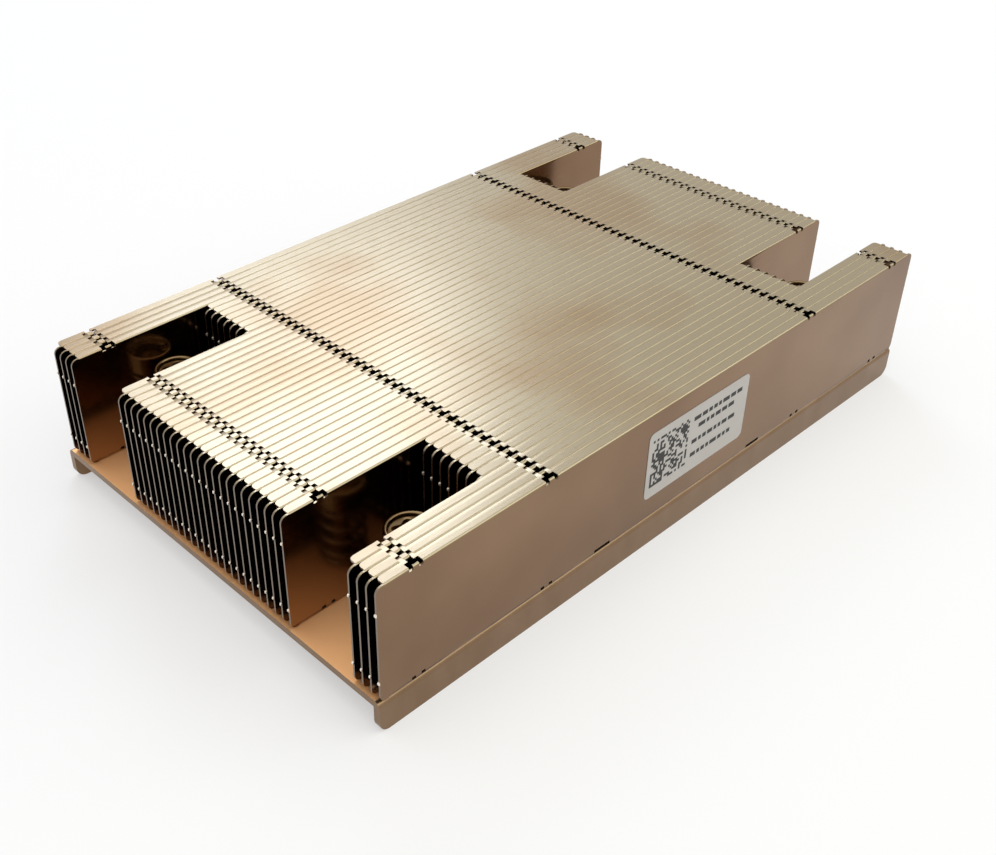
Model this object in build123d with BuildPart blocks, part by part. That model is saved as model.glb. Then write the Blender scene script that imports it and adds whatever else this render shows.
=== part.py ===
from build123d import *
import math
import os

os.makedirs("parts", exist_ok=True)

# Millimetres. +Z is up, the fins run along X and are stacked along Y.

# Captive screws on a rectangular pattern.
screw_spacing_x = 94.0
screw_spacing_y = 56.0
thread_radius = 2.0
neck_radius = 1.4
neck_sides = 12
neck_clearance = 0.3
head_radius = 3.9
head_edge = 0.45
head_bottom = 16.3
head_top = 19.5
recess_radius = 2.85
recess_inner = 2.05
recess_depth = 2.2
tip_height = 0.5

# Fin stack. Fin 01 is the outermost one on the -Y side, and flanges are folded towards +Y.
fin_count = 46
fin_pitch = 1.7
fin_sheet = 0.35
fin_height = 19.9
fin_end_to_screw = 15.8
fin_length = screw_spacing_x + 2 * fin_end_to_screw
flange_clearance = 0.05
flange_setback = 1.4
flange_corner = 0.7
bend_size = 0.35
corner_size = 1.2
stack_width = fin_count * fin_pitch

# Fins that would meet a screw head are short, which leaves a pocket at each corner.
pocket_end_to_screw = 8.0
pocket_inside = 7.5
pocket_outside = head_radius + 0.3
short_length = screw_spacing_x - 2 * pocket_end_to_screw

# Zipper joints: a tab on each top flange hooks into a slot in the next fin.
outer_row = fin_length / 2 - 6.7
inner_row = short_length / 2 - 7.8
slot_neck = 1.3
slot_length = 2.4
slot_reach = 1.1
slot_depth = fin_sheet
tab_clearance = 0.12
tab_reach = 0.75

# Base plate: a flat sheet with its long sides folded down as rails.
base_height = 5.6
base_thickness = 1.2
base_overhang = 0.3
base_length = fin_length + 2 * base_overhang
base_bend = 1.0
rail_corner = 1.8
thread_top = base_height - base_thickness - neck_clearance

# Contact pad under the base plate.
pad_length = 64.0
pad_width = 46.0
pad_bottom = 0.4
pad_corner = 1.2

# Springs around the screws, from the base plate up to the screw heads.
spring_radius = 3.4
spring_wire = 0.7
spring_turns = 4.75
spring_steps = 8
spring_seat = 0.02

# Label on the outer face of fin 01.
label_length = 24.8
label_height = 12.2
label_thickness = 0.1
label_corner = 0.6
label_x = 2.55
label_z = 15.75


def folded_fin(length, slot_rows, tab_rows):
    flange_edge = fin_pitch - flange_clearance
    bend_top = fin_height - bend_size
    with BuildPart() as fin:
        with BuildSketch(Plane.YZ):
            with BuildLine():
                Polyline(
                    (flange_edge, fin_height),
                    (bend_size, fin_height),
                    (0, bend_top),
                    (0, 0),
                    (flange_edge, 0),
                    (flange_edge, fin_sheet),
                    (fin_sheet, fin_sheet),
                    (fin_sheet, fin_height - fin_sheet),
                    (flange_edge, fin_height - fin_sheet),
                    close=True,
                )
            make_face()
        extrude(amount=length / 2, both=True)
        with BuildSketch(Plane.XZ) as outline:
            with Locations((0, fin_height / 2)):
                Rectangle(length, fin_height)
            chamfer(outline.vertices(), length=corner_size)
        extrude(amount=2 * fin_pitch, both=True, mode=Mode.INTERSECT)
        flange_end = length / 2 - flange_setback
        with BuildSketch(Plane.XY):
            with BuildLine():
                Polyline(
                    (length / 2, fin_sheet),
                    (flange_end, fin_sheet),
                    (flange_end, flange_edge - flange_corner),
                    (flange_end - flange_corner, flange_edge),
                    (length / 2, flange_edge),
                    close=True,
                )
            make_face()
            mirror(about=Plane.YZ)
        extrude(amount=fin_height, mode=Mode.SUBTRACT)
        with BuildSketch(Plane.XY.offset(fin_height)):
            for row in slot_rows:
                with BuildLine():
                    Polyline(
                        (row - slot_neck / 2, 0),
                        (row - slot_length / 2, slot_reach),
                        (row + slot_length / 2, slot_reach),
                        (row + slot_neck / 2, 0),
                        close=True,
                    )
                make_face()
        extrude(amount=-slot_depth, mode=Mode.SUBTRACT)
        if tab_rows:
            slope = (slot_length - slot_neck) / 2 / slot_reach
            tab_root = slot_neck / 2 - tab_clearance
            tab_end = tab_root + slope * tab_reach
            with BuildSketch(Plane.XY.offset(fin_height)):
                for row in tab_rows:
                    with BuildLine():
                        Polyline(
                            (row - tab_root, flange_edge),
                            (row - tab_end, flange_edge + tab_reach),
                            (row + tab_end, flange_edge + tab_reach),
                            (row + tab_root, flange_edge),
                            close=True,
                        )
                    make_face()
            extrude(amount=-fin_sheet)
    return fin.part


# Fins
inner_rows = (-inner_row, inner_row)
all_rows = (-outer_row, -inner_row, inner_row, outer_row)
pocket_start = screw_spacing_y / 2 - pocket_inside
pocket_stop = screw_spacing_y / 2 + pocket_outside
is_short = []
for index in range(fin_count):
    from_middle = abs((index + 0.5) * fin_pitch - stack_width / 2)
    near_side = from_middle - fin_pitch / 2
    far_side = from_middle + fin_pitch / 2
    is_short.append(near_side < pocket_stop and far_side > pocket_start)
is_short.append(False)

long_fin = folded_fin(fin_length, all_rows, all_rows)
long_fin_at_pocket = folded_fin(fin_length, all_rows, inner_rows)
last_fin = folded_fin(fin_length, all_rows, ())
short_fin = folded_fin(short_length, inner_rows, inner_rows)

for index in range(fin_count):
    if is_short[index]:
        shape = short_fin
    elif is_short[index + 1]:
        shape = long_fin_at_pocket
    elif index == fin_count - 1:
        shape = last_fin
    else:
        shape = long_fin
    place = (0, index * fin_pitch - stack_width / 2, base_height)
    with BuildPart() as fin:
        add(shape.moved(Location(place)))
    fin.part.label = f"fin_{index + 1:02d}"
    export_step(fin.part, f"parts/fin_{index + 1:02d}.step")

# Base plate
rail_y = stack_width / 2
inside_y = rail_y - base_thickness
inside_z = base_height - base_thickness
with BuildPart() as base_plate:
    with BuildSketch(Plane.YZ) as base_section:
        with BuildLine():
            Polyline(
                (-rail_y, 0),
                (-rail_y, base_height),
                (rail_y, base_height),
                (rail_y, 0),
                (inside_y, 0),
                (inside_y, inside_z),
                (-inside_y, inside_z),
                (-inside_y, 0),
                close=True,
            )
        make_face()
        upper = base_section.vertices().group_by(Axis.Y)[-1]
        fillet(upper, radius=base_bend)
    extrude(amount=base_length / 2, both=True)
    rail_ends = base_plate.edges().filter_by(Axis.Y).group_by(Axis.Z)[0]
    fillet(rail_ends, radius=rail_corner)
    with BuildSketch(Plane.XY.offset(base_height)):
        with GridLocations(screw_spacing_x, screw_spacing_y, 2, 2):
            Circle(neck_radius + neck_clearance)
    extrude(amount=-base_thickness, mode=Mode.SUBTRACT)
base_plate.part.label = "base_plate"
export_step(base_plate.part, "parts/base_plate.step")

# Contact pad
with BuildPart() as contact_pad:
    with BuildSketch(Plane.XY.offset(pad_bottom)):
        pad_outline = Rectangle(pad_length, pad_width)
        chamfer(pad_outline.vertices(), length=pad_corner)
    extrude(amount=inside_z - pad_bottom)
contact_pad.part.label = "contact_pad"
export_step(contact_pad.part, "parts/contact_pad.step")

# Screws and springs
corners = (
    ("front_right", -1, -1),
    ("front_left", -1, 1),
    ("rear_right", 1, -1),
    ("rear_left", 1, 1),
)
star = []
for point in range(12):
    reach = recess_radius if point % 2 == 0 else recess_inner
    angle = math.radians(30 * point)
    star.append((reach * math.cos(angle), reach * math.sin(angle)))
spring_low = base_height + spring_wire / 2 + spring_seat
spring_rise = head_bottom - base_height - spring_wire - 2 * spring_seat
coil = []
for step in range(int(spring_turns * spring_steps) + 1):
    angle = 2 * math.pi * step / spring_steps
    height = spring_low + spring_rise * step / (spring_turns * spring_steps)
    coil.append((spring_radius * math.cos(angle), spring_radius * math.sin(angle), height))

for corner, side_x, side_y in corners:
    screw_x = side_x * screw_spacing_x / 2
    screw_y = side_y * screw_spacing_y / 2
    with BuildPart() as screw:
        with BuildSketch(Plane.XY.offset(head_bottom)):
            Circle(head_radius)
        extrude(amount=head_top - head_bottom)
        chamfer(screw.faces().sort_by(Axis.Z)[-1].edges(), length=head_edge)
        with BuildSketch(Plane.XY.offset(thread_top)):
            RegularPolygon(neck_radius, neck_sides)
        extrude(amount=head_bottom - thread_top)
        with BuildSketch(Plane.XY.offset(tip_height)):
            Circle(thread_radius)
        extrude(amount=thread_top - tip_height)
        with BuildSketch(Plane.XY.offset(head_top)):
            Polygon(*star, align=None)
        extrude(amount=-recess_depth, mode=Mode.SUBTRACT)
    screw_placed = screw.part.moved(Location((screw_x, screw_y, 0)))
    screw_placed.label = f"screw_{corner}"
    export_step(screw_placed, f"parts/screw_{corner}.step")

    with BuildPart() as spring:
        with BuildLine() as wire:
            Polyline(*coil)
        with BuildSketch(Plane(origin=wire.line @ 0, z_dir=wire.line % 0)):
            RegularPolygon(spring_wire / 2, 4)
        sweep(transition=Transition.RIGHT)
    spring_placed = spring.part.moved(Location((screw_x, screw_y, 0)))
    spring_placed.label = f"spring_{corner}"
    export_step(spring_placed, f"parts/spring_{corner}.step")

# Label
with BuildPart() as label:
    with BuildSketch(Plane.XZ.offset(stack_width / 2)):
        with Locations((label_x, label_z)):
            label_outline = Rectangle(label_length, label_height)
            chamfer(label_outline.vertices(), length=label_corner)
    extrude(amount=label_thickness)
label.part.label = "label"
export_step(label.part, "parts/label.step")
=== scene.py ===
import math
import random

import bmesh
import bpy
from mathutils import Matrix, Vector


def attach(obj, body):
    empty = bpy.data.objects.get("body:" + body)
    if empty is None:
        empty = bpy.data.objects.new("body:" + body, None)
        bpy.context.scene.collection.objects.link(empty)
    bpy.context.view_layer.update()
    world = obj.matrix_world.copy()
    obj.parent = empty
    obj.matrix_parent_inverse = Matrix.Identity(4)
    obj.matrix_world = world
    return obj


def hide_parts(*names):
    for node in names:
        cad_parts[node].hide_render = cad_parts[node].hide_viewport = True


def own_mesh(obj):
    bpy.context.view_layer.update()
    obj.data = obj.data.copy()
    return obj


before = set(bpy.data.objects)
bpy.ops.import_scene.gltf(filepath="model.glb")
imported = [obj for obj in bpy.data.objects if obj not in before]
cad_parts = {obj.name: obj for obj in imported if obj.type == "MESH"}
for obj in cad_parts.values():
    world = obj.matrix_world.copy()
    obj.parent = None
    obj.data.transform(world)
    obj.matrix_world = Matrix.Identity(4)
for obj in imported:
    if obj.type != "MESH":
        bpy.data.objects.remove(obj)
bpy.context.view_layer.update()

mm = 0.001

# Fins
# Forty-six fins of rolled aluminium sheet, stamped flat and folded over at the top and the bottom.
# In four zipper rows, two prongs on the top flange of each fin hook into slot legs in the next one.
fin_count = 46
fin_pitch = 1.7 * mm
fin_sheet = 0.3 * mm
fin_height = 19.9 * mm
fin_length = 125.6 * mm
short_length = 78.0 * mm
fin_bottom = 5.6 * mm
first_fin_y = -39.1 * mm
bend_radius = 0.27 * mm
flange_reach = 1.63 * mm
flange_setback = 1.4 * mm
outer_row = 56.1 * mm
inner_row = 31.2 * mm

# Fins 05 to 11 and 36 to 42 are short, which makes room for the screws. Here they count from 0.
short_fins = list(range(4, 11)) + list(range(35, 42))


def near(value, target):
    return abs(value - target) < 0.002 * mm


# Extrudes edges, and gives the new points and the new edges between them.
def draw_out(shape, edges):
    drawn = bmesh.ops.extrude_edge_only(shape, edges=edges)["geom"]
    points = [g for g in drawn if isinstance(g, bmesh.types.BMVert)]
    free_edges = [g for g in drawn if isinstance(g, bmesh.types.BMEdge)
                  and all(v in points for v in g.verts)]
    return points, free_edges


def make_mesh(shape, name, sharp_degrees=None):
    for face in shape.faces:
        face.smooth = sharp_degrees is not None
    mesh = bpy.data.meshes.new(name)
    shape.to_mesh(mesh)
    shape.free()
    if sharp_degrees is not None:
        mesh.set_sharp_from_angle(angle=math.radians(sharp_degrees))
    return mesh


def fold_fin(length, slot_rows, prong_rows, beside_open):
    half = length / 2
    flange_half = half - flange_setback
    top = fin_height - bend_radius
    margin = 0.01 * mm
    edge_gap = 0.05 * mm
    corner_radius = 1.05 * mm
    flange_corner = 0.8 * mm
    leg_inside, leg_outside = 0.5 * mm, 1.2 * mm
    leg_foot = fin_height - 0.6 * mm
    leg_end = 1.05 * mm
    short_tongue, inner_tongue, outer_tongue = 0.3 * mm, 0.5 * mm, 0.95 * mm
    foot_top = 0.8 * mm
    foot_slots = (-19.0 * mm, 19.0 * mm)
    foot_slot_half = 1.75 * mm
    nubs = ((3.35 * mm, 3.85 * mm), (15.25 * mm, 15.75 * mm))
    nub_reach = 0.22 * mm
    nub_rounding = 0.15 * mm
    prong_side = 0.62 * mm
    prong_twist = 0.07 * mm

    # Each prong has its two sides, from the middle of the row, and its steps out and down in mm.
    prongs = ((-leg_outside, -leg_inside, ((0.2, 0.015), (0.3, 0.02), (0.3, 0.05), (0.2, 0.09))),
              (prong_side, leg_outside, ((0.2, 0.015), (0.25, 0.02), (0.25, 0.07), (0.18, 0.14))))

    # The blank has round corners, and is cut across at the slots, the flange ends and the nubs.
    fin = bmesh.new()
    bmesh.ops.create_grid(fin, x_segments=1, y_segments=1, size=0.5)
    bmesh.ops.scale(fin, verts=fin.verts, vec=(length, fin_height - 2 * edge_gap, 1))
    bmesh.ops.rotate(fin, verts=fin.verts, matrix=Matrix.Rotation(math.radians(90), 3, "X"))
    bmesh.ops.translate(fin, verts=fin.verts, vec=(0, 0, fin_height / 2))
    bmesh.ops.bevel(fin, geom=fin.verts[:], offset=corner_radius, segments=6, profile=0.5,
                    affect="VERTICES", material=-1)
    across = [-flange_half, flange_half]
    for row in sorted(set(slot_rows) | set(prong_rows)):
        across += [row - leg_outside, row - leg_inside, row + leg_inside, row + leg_outside,
                   row + prong_side]
    for middle in foot_slots:
        across += [middle - foot_slot_half, middle + foot_slot_half]
    levels = [bend_radius, foot_top, top, leg_foot]
    for low, high in nubs:
        levels += [low, high]
    cuts = [((x, 0, 0), (1, 0, 0)) for x in across] + [((0, 0, z), (0, 0, 1)) for z in levels]
    for point, direction in cuts:
        bmesh.ops.bisect_plane(fin, geom=fin.verts[:] + fin.edges[:] + fin.faces[:], dist=1e-7,
                               plane_co=point, plane_no=direction)
    strips = [f for f in fin.faces
              if abs(f.calc_center_median().x) < flange_half
              and not bend_radius < f.calc_center_median().z < top]
    bmesh.ops.delete(fin, geom=strips, context="FACES")

    # Both long edges are folded round the bend and drawn out to the flange's edge.
    for level, turn in ((top, -90), (bend_radius, 90)):
        edge = [e for e in fin.edges
                if all(near(v.co.z, level) and abs(v.co.x) < flange_half + margin for v in e.verts)]
        folded = bmesh.ops.spin(fin, geom=edge, cent=(0, bend_radius, level), axis=(1, 0, 0),
                                angle=math.radians(turn), steps=4, use_duplicate=False)["geom_last"]
        edge = [g for g in folded if isinstance(g, bmesh.types.BMEdge)]
        for reach in (short_tongue, inner_tongue, outer_tongue, leg_end, flange_reach):
            points, edge = draw_out(fin, edge)
            for point in points:
                point.co.y = reach

    # Prongs run on from the free edge of the top flange, twisted a little, and curl down at the tip.
    for row in prong_rows:
        for left, right, steps in prongs:
            edge = [e for e in fin.edges
                    if all(near(v.co.y, flange_reach) and v.co.z > top for v in e.verts)
                    and all(left - margin < v.co.x - row < right + margin for v in e.verts)]
            for step, (out, down) in enumerate(steps):
                points, edge = draw_out(fin, edge)
                bmesh.ops.translate(fin, verts=points, vec=(0, out * mm, -down * mm))
                if step == 0:
                    left_side = [v for v in points if near(v.co.x, row + left)]
                    bmesh.ops.translate(fin, verts=left_side, vec=(0, 0, -prong_twist))

    # Two slot legs go through the bend into the web. Between them the bend stays as a tongue,
    # and the flange behind it is open to its free edge. A fin that stands beside an open space
    # has the shortest tongue, and shows small holes and two longer slots at its foot.
    cut_out = []
    for face in fin.faces:
        centre = face.calc_center_median()
        at_foot = beside_open and bend_radius < centre.z < foot_top
        is_open = at_foot and min(abs(centre.x - middle) for middle in foot_slots) < foot_slot_half
        for row in slot_rows:
            aside = abs(centre.x - row)
            if centre.y > flange_reach or aside > leg_outside:
                continue
            if beside_open:
                tongue_end = short_tongue
            elif near(abs(row), outer_row):
                tongue_end = outer_tongue
            else:
                tongue_end = inner_tongue
            is_leg = leg_inside < aside and centre.z > leg_foot and centre.y < leg_end
            is_window = aside < leg_inside and centre.z > top and centre.y > tongue_end
            is_hole = at_foot and leg_inside < aside
            is_open = is_open or is_leg or is_window or is_hole
        if is_open:
            cut_out.append(face)
    bmesh.ops.delete(fin, geom=cut_out, context="FACES")

    # Nubs are left on the ends where the fin was held in its strip.
    for low, high in nubs:
        for side in (-1, 1):
            edge = [e for e in fin.edges
                    if all(near(v.co.x, side * half) for v in e.verts)
                    and low < (e.verts[0].co.z + e.verts[1].co.z) / 2 < high]
            points, edge = draw_out(fin, edge)
            bmesh.ops.translate(fin, verts=points, vec=(side * nub_reach, 0, 0))
            bmesh.ops.bevel(fin, geom=points, offset=nub_rounding, segments=2, profile=0.5,
                            affect="VERTICES", material=-1)

    # The flange corners are rounded, and the sheet gets its thickness on its inner side.
    flange_corners = [v for v in fin.verts
                      if near(abs(v.co.x), flange_half) and near(v.co.y, flange_reach)]
    bmesh.ops.bevel(fin, geom=flange_corners, offset=flange_corner, segments=3, profile=0.5,
                    affect="VERTICES", material=-1)
    bmesh.ops.recalc_face_normals(fin, faces=fin.faces)
    web = max(fin.faces, key=lambda f: f.calc_area())
    if web.normal.y > 0:
        bmesh.ops.reverse_faces(fin, faces=fin.faces)
    bmesh.ops.solidify(fin, geom=fin.faces[:], thickness=fin_sheet)
    for face in fin.faces:
        if abs(face.calc_center_median().x) > half + margin / 2:
            face.material_index = 1
    return make_mesh(fin, "folded_fin", sharp_degrees=35)


def hex_colour(text):
    parts = [int(text[i:i + 2], 16) / 255 for i in (1, 3, 5)]
    return [p / 12.92 if p <= 0.04045 else ((p + 0.055) / 1.055) ** 2.4 for p in parts] + [1.0]


def add_node(tree, kind, inputs=None, **settings):
    made = tree.nodes.new(kind)
    for name, value in settings.items():
        setattr(made, name, value)
    for name, value in (inputs or {}).items():
        if isinstance(value, bpy.types.NodeSocket):
            tree.links.new(value, made.inputs[name])
        else:
            made.inputs[name].default_value = value
    return made


def new_material(name):
    material = bpy.data.materials.new(name)
    material.use_nodes = True
    tree = material.node_tree
    return material, tree, tree.nodes["Principled BSDF"]


# Rolled aluminium sheet with a mill finish: satin, with fine lines along the rolling direction.
# The upright webs are painted browner and the flanges paler: painted shade on the dim sides and
# painted light on the top. The bends keep the paler tone, a painted highlight that makes their
# lines brighter, and the end faces are painted a darker grey as painted shade. There are thin
# flux stains on the top and a broken dark line along the foot. Real rolling lines are finer than
# 0.1 mm, and are drawn coarser so that they show. In a Mix node of colours, 6 and 7 are its
# inputs A and B and 2 is its result. In one of numbers they are 2, 3 and 0.
line_length, line_width = 6.667 * mm, 0.25 * mm
stain_size = 29.4 * mm
foot_line_size = 9.09 * mm
foot_line_top, foot_line_full = 6.25 * mm, 5.95 * mm
fin_metal, tree, shader = new_material("rolled_aluminium_fins")
place = add_node(tree, "ShaderNodeTexCoord").outputs["Object"]
lines_at = add_node(tree, "ShaderNodeMapping", {
    "Vector": place, "Scale": (1 / line_length, 1 / line_width, 1 / line_width)})
lines = add_node(tree, "ShaderNodeTexNoise", {
    "Vector": lines_at.outputs["Vector"], "Scale": 1.0, "Detail": 3.0})
stain = add_node(tree, "ShaderNodeTexNoise", {
    "Vector": place, "Scale": 1 / stain_size, "Detail": 3.0, "Roughness": 0.5})
# The paler flange tone is painted light on the top, varied by the stain noise.
flange_stain_and_light = add_node(tree, "ShaderNodeValToRGB", {"Fac": stain.outputs["Fac"]})
flange_stain_and_light.color_ramp.elements[0].position = 0.36
flange_stain_and_light.color_ramp.elements[0].color = hex_colour("#A38E70")
flange_stain_and_light.color_ramp.elements[1].position = 0.52
flange_stain_and_light.color_ramp.elements[1].color = hex_colour("#AB9D82")
# The browner web tone is painted shade on the dim sides, varied by the stain noise.
web_stain_and_shade = add_node(tree, "ShaderNodeValToRGB", {"Fac": stain.outputs["Fac"]})
web_stain_and_shade.color_ramp.elements[0].position = 0.35
web_stain_and_shade.color_ramp.elements[0].color = hex_colour("#7B604A")
web_stain_and_shade.color_ramp.elements[1].position = 0.65
web_stain_and_shade.color_ramp.elements[1].color = hex_colour("#8E7259")
height = add_node(tree, "ShaderNodeSeparateXYZ", {"Vector": place}).outputs["Z"]
# A broken dark line along the foot, where the fin meets the base.
at_foot = add_node(tree, "ShaderNodeMapRange", {
    "Value": height, "From Min": foot_line_top, "From Max": foot_line_full})
foot_line_noise = add_node(tree, "ShaderNodeTexNoise", {
    "Vector": place, "Scale": 1 / foot_line_size, "Detail": 4.0})
foot_line_patches = add_node(tree, "ShaderNodeMapRange", {
    "Value": foot_line_noise.outputs["Fac"], "From Min": 0.36, "From Max": 0.5})
is_foot_line = add_node(tree, "ShaderNodeMath", {
    0: at_foot.outputs["Result"], 1: foot_line_patches.outputs["Result"]}, operation="MULTIPLY")
foot_tone = add_node(tree, "ShaderNodeMix", {
    "Factor": is_foot_line.outputs["Value"], 6: web_stain_and_shade.outputs["Color"], 7: hex_colour("#5A4231")},
    data_type="RGBA")
facing = add_node(tree, "ShaderNodeNewGeometry")
facing_parts = add_node(tree, "ShaderNodeSeparateXYZ", {"Vector": facing.outputs["True Normal"]})
upright = add_node(tree, "ShaderNodeMath", {0: facing_parts.outputs["Y"]}, operation="ABSOLUTE")
# Faces turned sideways take the painted shade of the webs, and the bends keep the painted light of
# the flanges.
is_web = add_node(tree, "ShaderNodeMapRange", {
    "Value": upright.outputs["Value"], "From Min": 0.93, "From Max": 0.995})
tone = add_node(tree, "ShaderNodeMix", {
    "Factor": is_web.outputs["Result"], 6: flange_stain_and_light.outputs["Color"], 7: foot_tone.outputs[2]},
    data_type="RGBA")
# Faces turned endwise are painted a darker grey: painted shade.
endwise = add_node(tree, "ShaderNodeMath", {0: facing_parts.outputs["X"]}, operation="ABSOLUTE")
is_cut = add_node(tree, "ShaderNodeMapRange", {
    "Value": endwise.outputs["Value"], "From Min": 0.5, "From Max": 0.7})
end_face_shade = add_node(tree, "ShaderNodeMix", {
    "Factor": is_cut.outputs["Result"], 6: tone.outputs[2], 7: hex_colour("#85796C")},
    data_type="RGBA")
tree.links.new(end_face_shade.outputs[2], shader.inputs["Base Color"])
flange_gloss = add_node(tree, "ShaderNodeMapRange", {
    "Value": lines.outputs["Fac"], "From Min": 0.3, "From Max": 0.7, "To Min": 0.26, "To Max": 0.31})
web_gloss = add_node(tree, "ShaderNodeMapRange", {
    "Value": lines.outputs["Fac"], "From Min": 0.3, "From Max": 0.7, "To Min": 0.13, "To Max": 0.19})
gloss = add_node(tree, "ShaderNodeMix", {
    "Factor": is_web.outputs["Result"], 2: flange_gloss.outputs["Result"],
    3: web_gloss.outputs["Result"]}, data_type="FLOAT")
tree.links.new(gloss.outputs[0], shader.inputs["Roughness"])
relief = add_node(tree, "ShaderNodeBump", {
    "Height": lines.outputs["Fac"], "Strength": 0.04, "Distance": 0.01 * mm})
tree.links.new(relief.outputs["Normal"], shader.inputs["Normal"])
shader.inputs["Metallic"].default_value = 1.0

# The nubs on the fin ends are bright, freshly sheared metal with a fine torn grain.
tear_size = 0.25 * mm
nub_metal, tree, shader = new_material("sheared_aluminium_nubs")
place = add_node(tree, "ShaderNodeTexCoord").outputs["Object"]
tear = add_node(tree, "ShaderNodeTexNoise", {"Vector": place, "Scale": 1 / tear_size})
tear_gloss = add_node(tree, "ShaderNodeMapRange", {
    "Value": tear.outputs["Fac"], "To Min": 0.4, "To Max": 0.6})
tree.links.new(tear_gloss.outputs["Result"], shader.inputs["Roughness"])
shader.inputs["Base Color"].default_value = hex_colour("#F4EBDD")
shader.inputs["Metallic"].default_value = 1.0


def add_piece(name, mesh, *materials):
    for material in materials:
        mesh.materials.append(material)
    piece = bpy.data.objects.new(name, mesh)
    bpy.context.scene.collection.objects.link(piece)
    return piece


all_rows = (-outer_row, -inner_row, inner_row, outer_row)
inner_rows = (-inner_row, inner_row)
fin_shapes = {
    "beside_open": fold_fin(fin_length, all_rows, all_rows, True),
    "long": fold_fin(fin_length, all_rows, all_rows, False),
    "at_pocket": fold_fin(fin_length, all_rows, inner_rows, False),
    "short": fold_fin(short_length, inner_rows, inner_rows, False),
    "last": fold_fin(fin_length, all_rows, (), False),
}
for number in range(fin_count):
    if number in short_fins:
        kind = "short"
    elif number + 1 in short_fins:
        kind = "at_pocket"
    elif number == 0 or number - 1 in short_fins:
        kind = "beside_open"
    elif number == fin_count - 1:
        kind = "last"
    else:
        kind = "long"
    mesh = fin_shapes[kind].copy()
    mesh.transform(Matrix.Translation((0, first_fin_y + number * fin_pitch, fin_bottom)))
    folded = add_piece(f"folded_fin_{number + 1:02d}", mesh, fin_metal, nub_metal)
    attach(folded, "heatsink")
    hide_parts(f"fin_{number + 1:02d}")

# Base plate
# One aluminium sheet under the whole stack, with its long sides folded down as rails.
# The fins are soldered to it and the screws pass through it.

# Rolled aluminium again: the rails have a soft brown sheen with faint clouds. The top, which shows
# in the pockets, is duller and painted a much paler orange: painted light, so that the pocket
# floors look brightly lit.
cloud_width, cloud_height = 3.846 * mm, 9.09 * mm
base_metal, tree, shader = new_material("rolled_aluminium_base")
place = add_node(tree, "ShaderNodeTexCoord").outputs["Object"]
clouds_at = add_node(tree, "ShaderNodeMapping", {
    "Vector": place, "Scale": (1 / cloud_width, 1 / cloud_width, 1 / cloud_height)})
clouds = add_node(tree, "ShaderNodeTexNoise", {
    "Vector": clouds_at.outputs["Vector"], "Scale": 1.0, "Detail": 2.0})
cloud_tone = add_node(tree, "ShaderNodeValToRGB", {"Fac": clouds.outputs["Fac"]})
cloud_tone.color_ramp.elements[0].position = 0.3
cloud_tone.color_ramp.elements[0].color = hex_colour("#82684F")
cloud_tone.color_ramp.elements[1].position = 0.7
cloud_tone.color_ramp.elements[1].color = hex_colour("#8A7058")
facing = add_node(tree, "ShaderNodeNewGeometry")
facing_parts = add_node(tree, "ShaderNodeSeparateXYZ", {"Vector": facing.outputs["True Normal"]})
# Up-facing faces get the paler orange: painted light.
is_top = add_node(tree, "ShaderNodeMapRange", {
    "Value": facing_parts.outputs["Z"], "From Min": 0.98, "From Max": 0.999})
tone = add_node(tree, "ShaderNodeMix", {
    "Factor": is_top.outputs["Result"], 6: cloud_tone.outputs["Color"], 7: hex_colour("#FFCC95")},
    data_type="RGBA")
tree.links.new(tone.outputs[2], shader.inputs["Base Color"])
gloss = add_node(tree, "ShaderNodeMapRange", {
    "Value": is_top.outputs["Result"], "To Min": 0.28, "To Max": 0.6})
tree.links.new(gloss.outputs["Result"], shader.inputs["Roughness"])
shader.inputs["Metallic"].default_value = 1.0
base_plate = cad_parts["base_plate"]
base_plate.data.materials.clear()
base_plate.data.materials.append(base_metal)

# Contact pad
# A copper block brazed under the base plate, milled flat where it meets the processor.
# Milled copper is a bright orange metal. The cutter left fine rings on it, about 0.7 mm apart,
# around a point 60 mm to its left.
ring_step = 0.698 * mm
cutter_y = 60 * mm
rings_at_scale_one = 20 / math.tau
pad_copper, tree, shader = new_material("milled_copper")
place = add_node(tree, "ShaderNodeTexCoord").outputs["Object"]
cutter_at = add_node(tree, "ShaderNodeMapping", {"Vector": place, "Location": (0, -cutter_y, 0)})
cutter = add_node(tree, "ShaderNodeTexWave", {
    "Vector": cutter_at.outputs["Vector"], "Scale": 1 / ring_step / rings_at_scale_one,
    "Distortion": 0.4, "Detail": 1.0}, wave_type="RINGS", rings_direction="Z")
cutter_tone = add_node(tree, "ShaderNodeValToRGB", {"Fac": cutter.outputs["Fac"]})
cutter_tone.color_ramp.elements[0].color = hex_colour("#C07C58")
cutter_tone.color_ramp.elements[1].color = hex_colour("#D9936C")
tree.links.new(cutter_tone.outputs["Color"], shader.inputs["Base Color"])
relief = add_node(tree, "ShaderNodeBump", {
    "Height": cutter.outputs["Fac"], "Strength": 0.15, "Distance": 0.02 * mm})
tree.links.new(relief.outputs["Normal"], shader.inputs["Normal"])
shader.inputs["Metallic"].default_value = 1.0
shader.inputs["Roughness"].default_value = 0.28
contact_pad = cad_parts["contact_pad"]
contact_pad.data.materials.clear()
contact_pad.data.materials.append(pad_copper)

# Screws
# Captive steel screws, turned and nickel plated, with a wide low head and a star-shaped recess.
# The neck passes through the base plate and the threaded end is too thick to come back out.
screw_x = 47.0 * mm
screw_y = 28.0 * mm
screw_corners = (("front_right", -1, -1), ("front_left", -1, 1), ("rear_right", 1, -1),
                 ("rear_left", 1, 1))

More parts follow.
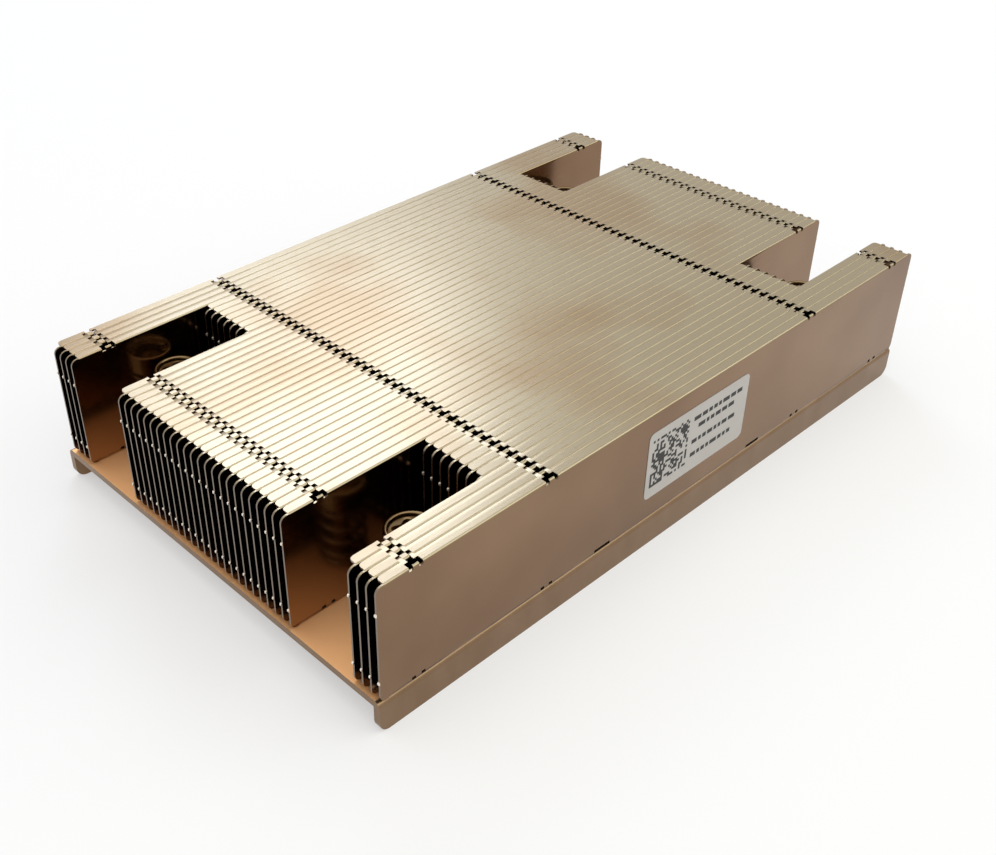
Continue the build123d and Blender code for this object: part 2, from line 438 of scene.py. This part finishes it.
# Nickel plating gives a warm, glossy metal, a little uneven where it was handled. Its dark brown
# is painted shade: plated steel is paler, and the heads sit deep in the dark pockets.
handling_size = 1.111 * mm
screw_metal, tree, shader = new_material("nickel_plated_steel")
place = add_node(tree, "ShaderNodeTexCoord").outputs["Object"]
handling = add_node(tree, "ShaderNodeTexNoise", {
    "Vector": place, "Scale": 1 / handling_size, "Detail": 3.0})
handling_gloss = add_node(tree, "ShaderNodeMapRange", {
    "Value": handling.outputs["Fac"], "To Min": 0.1, "To Max": 0.22})
tree.links.new(handling_gloss.outputs["Result"], shader.inputs["Roughness"])
shader.inputs["Base Color"].default_value = hex_colour("#7A6649")
shader.inputs["Metallic"].default_value = 1.0


def turned_screw():
    # The outline is turned around the axis. Each point is a radius and a height in mm.
    threaded_end = [(1.55, 0.5), (1.9, 0.85), (1.9, 4.0), (1.4, 4.1)]
    neck_and_head = [(1.4, 16.3), (3.75, 16.3), (3.9, 16.45), (3.9, 18.9)]
    rolled_rim = [(3.87, 19.12), (3.79, 19.3), (3.68, 19.42), (3.54, 19.48), (3.4, 19.46),
                  (3.28, 19.38), (3.2, 19.2), (3.14, 18.8)]
    screw = bmesh.new()
    previous = None
    for radius, height in threaded_end + neck_and_head + rolled_rim:
        point = screw.verts.new((radius * mm, 0, height * mm))
        if previous:
            screw.edges.new((previous, point))
        previous = point
    bmesh.ops.spin(screw, geom=screw.verts[:] + screw.edges[:], cent=(0, 0, 0), axis=(0, 0, 1),
                   angle=math.radians(360), steps=48, use_merge=True, use_duplicate=False)
    bmesh.ops.remove_doubles(screw, verts=screw.verts, dist=1e-7)
    tip = [e for e in screw.edges if e.is_boundary and e.verts[0].co.z < 1 * mm]
    bmesh.ops.holes_fill(screw, edges=tip, sides=0)

    # Inside the rim the recess narrows to a rounded star, goes straight down and ends in a cone.
    star_points = 6
    star_radius, star_wave = 2.5 * mm, 0.36 * mm
    star_lip, star_depth = 0.1 * mm, 1.3 * mm
    cone_share, cone_depth = 0.3, 0.3 * mm
    points, edge = draw_out(screw, [e for e in screw.edges if e.is_boundary])
    for point in points:
        angle = math.atan2(point.co.y, point.co.x)
        reach = star_radius + star_wave * math.cos(star_points * angle)
        point.co.x, point.co.y = reach * math.cos(angle), reach * math.sin(angle)
        point.co.z -= star_lip
    points, edge = draw_out(screw, edge)
    bmesh.ops.translate(screw, verts=points, vec=(0, 0, -star_depth))
    points, edge = draw_out(screw, edge)
    bmesh.ops.scale(screw, verts=points, vec=(cone_share, cone_share, 1))
    bmesh.ops.translate(screw, verts=points, vec=(0, 0, -cone_depth))
    bmesh.ops.holes_fill(screw, edges=edge, sides=0)

    # The thread is one V-shaped ridge wound up the end.
    thread_pitch = 0.7 * mm
    thread_turns = 3.2
    steps_a_turn = 24
    ridge = [screw.verts.new((radius * mm, 0, height * mm))
             for radius, height in ((1.88, 0.95), (2.0, 1.3), (1.88, 1.65))]
    winding = ridge + [screw.edges.new((ridge[0], ridge[1])), screw.edges.new((ridge[1], ridge[2]))]
    bmesh.ops.spin(screw, geom=winding, cent=(0, 0, 0), axis=(0, 0, 1),
                   dvec=(0, 0, thread_pitch / steps_a_turn), angle=math.radians(360 * thread_turns),
                   steps=int(thread_turns * steps_a_turn), use_duplicate=False)
    bmesh.ops.recalc_face_normals(screw, faces=screw.faces)
    return make_mesh(screw, "turned_screw", sharp_degrees=35)


screw_shape = turned_screw()
for corner, side_x, side_y in screw_corners:
    mesh = screw_shape.copy()
    mesh.transform(Matrix.Translation((side_x * screw_x, side_y * screw_y, 0)))
    turned = add_piece(f"turned_screw_{corner}", mesh, screw_metal)
    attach(turned, f"screw_{corner}")
    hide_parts(f"screw_{corner}")

# Springs
# Compression springs wound from round steel wire, with the last turn closed down at each end.
# They stand on the base plate and hold the screws up until they are driven home.
wire_radius = 0.35 * mm
coil_radius = 3.4 * mm
spring_low = 5.6 * mm
spring_high = 16.3 * mm

# Plated wire has a dark satin shine, a little uneven from being drawn.
drawing_size = 0.6667 * mm
spring_metal, tree, shader = new_material("plated_spring_wire")
place = add_node(tree, "ShaderNodeTexCoord").outputs["Object"]
drawing = add_node(tree, "ShaderNodeTexNoise", {
    "Vector": place, "Scale": 1 / drawing_size, "Detail": 2.0})
drawing_gloss = add_node(tree, "ShaderNodeMapRange", {
    "Value": drawing.outputs["Fac"], "To Min": 0.2, "To Max": 0.42})
tree.links.new(drawing_gloss.outputs["Result"], shader.inputs["Roughness"])
shader.inputs["Base Color"].default_value = hex_colour("#7D6A52")
shader.inputs["Metallic"].default_value = 1.0


def wound_spring():
    closed_turns, open_turns = 0.9, 3.6
    closed_spacing = 1.02 * 2 * wire_radius
    steps_a_turn = 36
    closed_rise = closed_turns * closed_spacing
    open_rise = spring_high - spring_low - 2 * wire_radius - 2 * closed_rise
    spring = bmesh.new()
    around = bmesh.ops.create_circle(spring, cap_ends=False, radius=wire_radius, segments=10)["verts"]
    bmesh.ops.rotate(spring, verts=around, matrix=Matrix.Rotation(math.radians(90), 3, "X"))
    bmesh.ops.translate(spring, verts=around, vec=(coil_radius, 0, spring_low + wire_radius))
    geometry = spring.verts[:] + spring.edges[:]
    first_end = spring.edges[:]
    for turns, rise in ((closed_turns, closed_rise), (open_turns, open_rise),
                        (closed_turns, closed_rise)):
        steps = int(round(turns * steps_a_turn))
        geometry = bmesh.ops.spin(spring, geom=geometry, cent=(0, 0, 0), axis=(0, 0, 1),
                                  dvec=(0, 0, rise / steps), angle=math.radians(360 * turns),
                                  steps=steps, use_duplicate=False)["geom_last"]
    last_end = [g for g in geometry if isinstance(g, bmesh.types.BMEdge)]
    for end in (first_end, last_end):
        bmesh.ops.holes_fill(spring, edges=[e for e in end if e.is_valid], sides=0)
    bmesh.ops.recalc_face_normals(spring, faces=spring.faces)
    return make_mesh(spring, "wound_spring", sharp_degrees=50)


# A driven screw shortens its spring from 10.7 to 6.7 mm.
spring_shape = wound_spring()
for corner, side_x, side_y in screw_corners:
    mesh = spring_shape.copy()
    mesh.transform(Matrix.Translation((side_x * screw_x, side_y * screw_y, 0)))
    wound = add_piece(f"wound_spring_{corner}", mesh, spring_metal)
    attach(wound, "heatsink")
    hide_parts(f"spring_{corner}")
    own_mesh(wound)

# Label
# A white film label with round corners, stuck to the outer face of fin 01.
# A square of small blocks and four rows of dashes are printed on it in black.
label_face = -39.1 * mm
label_low, label_high = Vector((-9.85, 0, 9.65)) * mm, Vector((14.95, 0, 21.85)) * mm
label_corner = 1.0 * mm
film_thickness = 0.08 * mm
print_thickness = 0.01 * mm
print_gap = 0.005 * mm

# White plastic film: nearly even, with a faint mottle and a low sheen. It is painted light grey
# rather than white: painted shade for the dimmer light on this side of the fin stack.
mottle_size = 3.33 * mm
label_film, tree, shader = new_material("white_label_film")
place = add_node(tree, "ShaderNodeTexCoord").outputs["Object"]
mottle = add_node(tree, "ShaderNodeTexNoise", {
    "Vector": place, "Scale": 1 / mottle_size, "Detail": 2.0})
mottle_tone = add_node(tree, "ShaderNodeValToRGB", {"Fac": mottle.outputs["Fac"]})
mottle_tone.color_ramp.elements[0].color = hex_colour("#B3AEA9")
mottle_tone.color_ramp.elements[1].color = hex_colour("#BDB8B3")
tree.links.new(mottle_tone.outputs["Color"], shader.inputs["Base Color"])
shader.inputs["Roughness"].default_value = 0.45
shader.inputs["IOR"].default_value = 1.5

# Thermal print: matt black with small paler specks.
speck_size = 0.4 * mm
print_ink, tree, shader = new_material("black_thermal_print")
place = add_node(tree, "ShaderNodeTexCoord").outputs["Object"]
specks = add_node(tree, "ShaderNodeTexNoise", {"Vector": place, "Scale": 1 / speck_size})
speck_tone = add_node(tree, "ShaderNodeValToRGB", {"Fac": specks.outputs["Fac"]})
speck_tone.color_ramp.elements[0].color = hex_colour("#191716")
speck_tone.color_ramp.elements[1].color = hex_colour("#272423")
tree.links.new(speck_tone.outputs["Color"], shader.inputs["Base Color"])
shader.inputs["Roughness"].default_value = 0.55

label = bmesh.new()
size = label_high - label_low
middle = (label_low + label_high) / 2
bmesh.ops.create_grid(label, x_segments=1, y_segments=1, size=0.5)
bmesh.ops.scale(label, verts=label.verts, vec=(size.x, size.z, 1))
bmesh.ops.bevel(label, geom=label.verts[:], offset=label_corner, segments=6, profile=0.5,
                affect="VERTICES", material=-1)
bmesh.ops.rotate(label, verts=label.verts, matrix=Matrix.Rotation(math.radians(90), 3, "X"))
bmesh.ops.translate(label, verts=label.verts, vec=(middle.x, label_face, middle.z))
drawn = bmesh.ops.extrude_face_region(label, geom=label.faces[:])["geom"]
front = [g for g in drawn if isinstance(g, bmesh.types.BMVert)]
bmesh.ops.translate(label, verts=front, vec=(0, -film_thickness, 0))
bmesh.ops.recalc_face_normals(label, faces=label.faces)
film_label = add_piece("film_label", make_mesh(label, "film_label"), label_film)
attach(film_label, "heatsink")
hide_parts("label")

# The square and the rows of dashes are laid out in mm. Each row has its lower edge, start and end.
square_left, square_low = -8.9, 11.6
block, blocks, filled_share = 0.44, 20, 0.52
dash_rows = ((19.2, 1.0, 13.3), (17.5, 2.3, 11.4), (14.9, 1.0, 12.0), (12.4, 1.0, 12.0))
dash_lengths = (0.7, 0.9, 1.3, 1.7)
dash_height, dash_gap, shortest_dash = 0.75, 0.35, 0.6
cells = []
chance = random.Random(4)
for column in range(blocks):
    for line in range(blocks):
        if chance.random() < filled_share:
            cells.append((square_left + column * block, square_low + line * block, block, block))
for low, start, stop in dash_rows:
    along = start
    while along < stop - shortest_dash:
        dash = min(chance.choice(dash_lengths), stop - along)
        cells.append((along, low, dash, dash_height))
        along += dash + dash_gap
printed = bmesh.new()
for left, low, width, height in cells:
    cell = bmesh.ops.create_grid(printed, x_segments=1, y_segments=1, size=0.5)["verts"]
    bmesh.ops.scale(printed, verts=cell, vec=(width * mm, height * mm, 1))
    bmesh.ops.rotate(printed, verts=cell, matrix=Matrix.Rotation(math.radians(90), 3, "X"))
    bmesh.ops.translate(printed, verts=cell, vec=((left + width / 2) * mm,
                                                  label_face - film_thickness - print_gap,
                                                  (low + height / 2) * mm))
bmesh.ops.remove_doubles(printed, verts=printed.verts, dist=1e-6)
drawn = bmesh.ops.extrude_face_region(printed, geom=printed.faces[:])["geom"]
front = [g for g in drawn if isinstance(g, bmesh.types.BMVert)]
bmesh.ops.translate(printed, verts=front, vec=(0, -print_thickness, 0))
bmesh.ops.recalc_face_normals(printed, faces=printed.faces)
label_print = add_piece("label_print", make_mesh(printed, "label_print"), print_ink)
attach(label_print, "heatsink")

# Floor, light and camera
# A plain white floor under soft studio light, seen from above the front right corner. The camera
# and reflections see floor and world whiter than they light the object, and the floor keeps the
# object's shadow.
floor_half = 3.0
floor_white_share = 0.45
floor_paint, tree, shader = new_material("white_floor")
shader.inputs["Base Color"].default_value = hex_colour("#F4F3F1")
shader.inputs["Roughness"].default_value = 0.9


# 1 for a ray that shows a surface, straight, in a reflection or through glass, and 0 for the rest.
def is_seen(tree):
    ray = add_node(tree, "ShaderNodeLightPath")
    directly = add_node(tree, "ShaderNodeMath", {
        0: ray.outputs["Is Camera Ray"], 1: ray.outputs["Is Glossy Ray"]}, operation="MAXIMUM")
    at_all = add_node(tree, "ShaderNodeMath", {
        0: directly.outputs["Value"], 1: ray.outputs["Is Transmission Ray"]}, operation="MAXIMUM")
    return at_all.outputs["Value"]


share = add_node(tree, "ShaderNodeMath", {0: is_seen(tree), 1: floor_white_share},
                 operation="MULTIPLY")
white = add_node(tree, "ShaderNodeEmission", {"Color": hex_colour("#FFFFFF"), "Strength": 1.0})
mixed = add_node(tree, "ShaderNodeMixShader", {
    "Fac": share.outputs["Value"], 1: shader.outputs["BSDF"], 2: white.outputs["Emission"]})
tree.links.new(mixed.outputs["Shader"], tree.nodes["Material Output"].inputs["Surface"])
stage = bmesh.new()
bmesh.ops.create_grid(stage, x_segments=1, y_segments=1, size=floor_half)
floor = add_piece("floor", make_mesh(stage, "floor"), floor_paint)

world = bpy.data.worlds.new("studio")
world.use_nodes = True
bpy.context.scene.world = world
tree = world.node_tree
background = tree.nodes["Background"]
background.inputs["Color"].default_value = hex_colour("#FFFFFF")
level = add_node(tree, "ShaderNodeMapRange", {
    "Value": is_seen(tree), "To Min": 0.6, "To Max": 0.85})
tree.links.new(level.outputs["Result"], background.inputs["Strength"])


def add_softbox(name, spot, aim, wide, high, power, colour):
    lamp = bpy.data.lights.new(name, "AREA")
    lamp.shape = "RECTANGLE"
    lamp.size = wide
    lamp.size_y = high
    lamp.energy = power
    lamp.color = hex_colour(colour)[:3]
    held = bpy.data.objects.new(name, lamp)
    held.location = spot
    held.rotation_euler = (Vector(aim) - Vector(spot)).to_track_quat("-Z", "Y").to_euler()
    bpy.context.scene.collection.objects.link(held)


add_softbox("rear_left_window", spot=(0.305, 0.494, 0.478), aim=(-0.03, 0, 0.02),
            wide=0.26, high=0.24, power=0.95, colour="#DAE6FF")
add_softbox("right_window", spot=(0.44, -0.5, 0.42), aim=(0, 0, 0.02),
            wide=0.6, high=0.36, power=1.2, colour="#F6FFEA")
add_softbox("overhead", spot=(-0.1, -0.1, 0.9), aim=(0, 0, 0),
            wide=1.2, high=1.2, power=4.4, colour="#FFFFFF")

# Where the camera stands, and which way right, down and ahead are in its picture.
camera = bpy.data.cameras.new("photo_view")
camera.lens = 45.41
camera.sensor_width = 36.0
camera.shift_x = 0.06
camera.clip_start = 0.01
camera_spot = (-0.13392, -0.12614, 0.12894)
right = Vector((0.72559, -0.68809, -0.00704))
down = Vector((-0.40224, -0.41581, -0.81566))
ahead = Vector((0.55832, 0.59467, -0.57849))
turned_to = Matrix((right, -down, -ahead)).transposed().to_4x4()
view = bpy.data.objects.new("photo_view", camera)
view.matrix_world = Matrix.Translation(camera_spot) @ turned_to
bpy.context.scene.collection.objects.link(view)
bpy.context.scene.camera = view
bpy.context.scene.view_settings.view_transform = "Standard"
